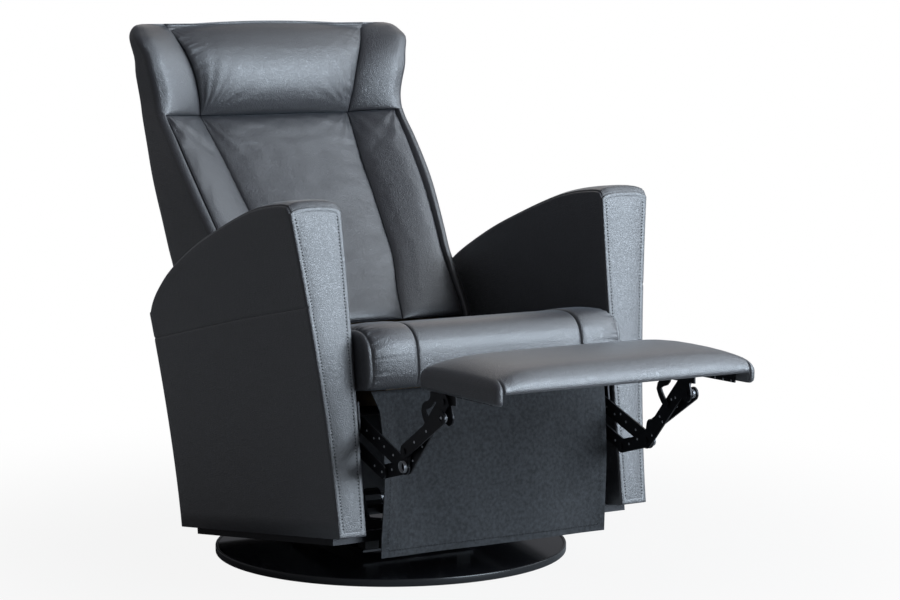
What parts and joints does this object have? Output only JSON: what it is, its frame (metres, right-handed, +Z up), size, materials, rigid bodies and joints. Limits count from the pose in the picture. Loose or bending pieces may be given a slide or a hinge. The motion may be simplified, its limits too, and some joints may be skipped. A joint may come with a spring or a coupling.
{
  "type": "swivel rocker recliner",
  "caption": "Black leather swivel recliner with winged back, sloping padded arms, extended footrest on a steel linkage and a round disc base.",
  "frame": {"origin": "on the floor under the base disc, on the swivel axis", "axes": "+X towards the sitter's left, -Y towards the front where the footrest comes out, +Z up"},
  "size_m": [0.741, 1.2977, 0.9786],
  "materials": {
    "leather": "fine grain, soft sheen",
    "gloss_black": "gloss black",
    "edge_trim": "satin",
    "black_steel": "satin black",
    "bright_steel": "zinc plated",
    "felt": "dull pressed felt",
    "plywood": "bare",
    "rubber": "matt"
  },
  "bodies": {
    "base": {"base_disc": "gloss_black", "base_edge_trim": "edge_trim", "swivel_lower_race": "bright_steel", "swivel_ball_ring": "bright_steel"},
    "swivel": {"swivel_plate": "black_steel", "rocker_stand_left": "black_steel", "rocker_stand_right": "black_steel", "rocker_shaft": "bright_steel", "rocker_spring_left": "black_steel", "rocker_spring_right": "black_steel", "rear_stop_left": "rubber", "rear_stop_right": "rubber", "front_stop_left": "rubber", "front_stop_right": "rubber"},
    "chassis": {"rocker_beam_left": "black_steel", "rocker_beam_right": "black_steel", "front_cross_rail": "black_steel", "rear_cross_rail": "black_steel", "side_rail_left": "black_steel", "side_rail_right": "black_steel", "seat_runner_left": "bright_steel", "seat_runner_right": "bright_steel", "arm_left": "leather", "arm_right": "leather", "arm_board_left": "plywood", "arm_board_right": "plywood"},
    "seat": {"seat_frame": "plywood", "seat_spring_1": "bright_steel", "seat_spring_2": "bright_steel", "seat_spring_3": "bright_steel", "slide_block_left": "black_steel", "slide_block_right": "black_steel", "mechanism_plate_left": "black_steel", "mechanism_plate_right": "black_steel", "front_torsion_tube": "black_steel", "rear_torsion_tube": "black_steel", "seat_cushion": "leather", "apron": "felt"},
    "back": {"back_shell": "leather", "back_board": "plywood", "back_cushion": "leather", "bolster_left": "leather", "bolster_right": "leather", "head_pillow": "leather", "wing_left": "leather", "wing_right": "leather", "back_hinge_plate_left": "black_steel", "back_hinge_plate_right": "black_steel"},
    "footrest": {"footrest_pad": "leather", "footrest_board": "plywood", "footrest_bracket_left": "black_steel", "footrest_bracket_right": "black_steel"},
    "seat_link_left": {"seat_link_left": "black_steel"},
    "seat_link_right": {"seat_link_right": "black_steel"},
    "rear_link_left": {"rear_link_left": "black_steel"},
    "rear_link_right": {"rear_link_right": "black_steel"},
    "long_link_left": {"long_link_left": "black_steel"},
    "long_link_right": {"long_link_right": "black_steel"},
    "front_link_left": {"front_link_left": "black_steel"},
    "front_link_right": {"front_link_right": "black_steel"}
  },
  "joints": [
    {"name": "swivel", "type": "hinge", "parent": "base", "child": "swivel", "pos_m": [0, 0, 0.027], "axis": [0, 0, 1], "continuous": true},
    {"name": "rock", "type": "hinge", "parent": "swivel", "child": "chassis", "pos_m": [0, 0, 0.1], "axis": [1, 0, 0], "range_deg": [0, 9]},
    {"name": "seat_slide", "type": "slide", "parent": "chassis", "child": "seat", "axis": [0, -0.9903, 0.1392], "range_m": [-0.034, 0.0137]},
    {"name": "back_recline", "type": "hinge", "parent": "seat", "child": "back", "pos_m": [0, 0.11463, 0.37674], "axis": [-1, 0, 0], "range_deg": [-20, 8]},
    {"name": "footrest_extend", "type": "hinge", "parent": "seat", "child": "seat_link_left", "pos_m": [0.2485, -0.32323, 0.30902], "axis": [1, 0, 0], "range_deg": [0, 96.4]},
    {"name": "seat_link_right_turn", "type": "hinge", "parent": "seat", "child": "seat_link_right", "pos_m": [-0.2485, -0.32323, 0.30902], "axis": [1, 0, 0], "range_deg": [0, 96.5]},
    {"name": "rear_link_left_turn", "type": "hinge", "parent": "seat", "child": "rear_link_left", "pos_m": [0.2485, -0.2454, 0.28798], "axis": [1, 0, 0], "range_deg": [0, 96.5]},
    {"name": "long_link_left_turn", "type": "hinge", "parent": "seat_link_left", "child": "long_link_left", "pos_m": [0.2435, -0.48515, 0.25503], "axis": [1, 0, 0], "range_deg": [-96.5, 0]},
    {"name": "front_link_left_turn", "type": "hinge", "parent": "seat_link_left", "child": "front_link_left", "pos_m": [0.2535, -0.49099, 0.28241], "axis": [1, 0, 0], "range_deg": [-126.5, 0]},
    {"name": "rear_link_right_turn", "type": "hinge", "parent": "seat", "child": "rear_link_right", "pos_m": [-0.2485, -0.2454, 0.28798], "axis": [1, 0, 0], "range_deg": [0, 96.5]},
    {"name": "long_link_right_turn", "type": "hinge", "parent": "seat_link_right", "child": "long_link_right", "pos_m": [-0.2435, -0.48515, 0.25503], "axis": [1, 0, 0], "range_deg": [-96.5, 0]},
    {"name": "front_link_right_turn", "type": "hinge", "parent": "seat_link_right", "child": "front_link_right", "pos_m": [-0.2535, -0.49099, 0.28241], "axis": [1, 0, 0], "range_deg": [-126.5, 0]},
    {"name": "footrest_turn", "type": "hinge", "parent": "long_link_left", "child": "footrest", "pos_m": [0, -0.60233, 0.37993], "axis": [1, 0, 0], "range_deg": [0, 82.9]}
  ],
  "couplings": [
    {"joint": "seat_slide", "follows": "back_recline", "m_per_rad": 0.0974},
    {"joint": "seat_link_right_turn", "follows": "footrest_extend", "ratio": 1},
    {"joint": "rear_link_left_turn", "follows": "footrest_extend", "ratio": 1},
    {"joint": "long_link_left_turn", "follows": "footrest_extend", "ratio": -1},
    {"joint": "front_link_left_turn", "follows": "footrest_extend", "ratio": -1.3105},
    {"joint": "rear_link_right_turn", "follows": "footrest_extend", "ratio": 1},
    {"joint": "long_link_right_turn", "follows": "footrest_extend", "ratio": -1},
    {"joint": "front_link_right_turn", "follows": "footrest_extend", "ratio": -1.3105},
    {"joint": "footrest_turn", "follows": "footrest_extend", "ratio": 0.8584}
  ]
}
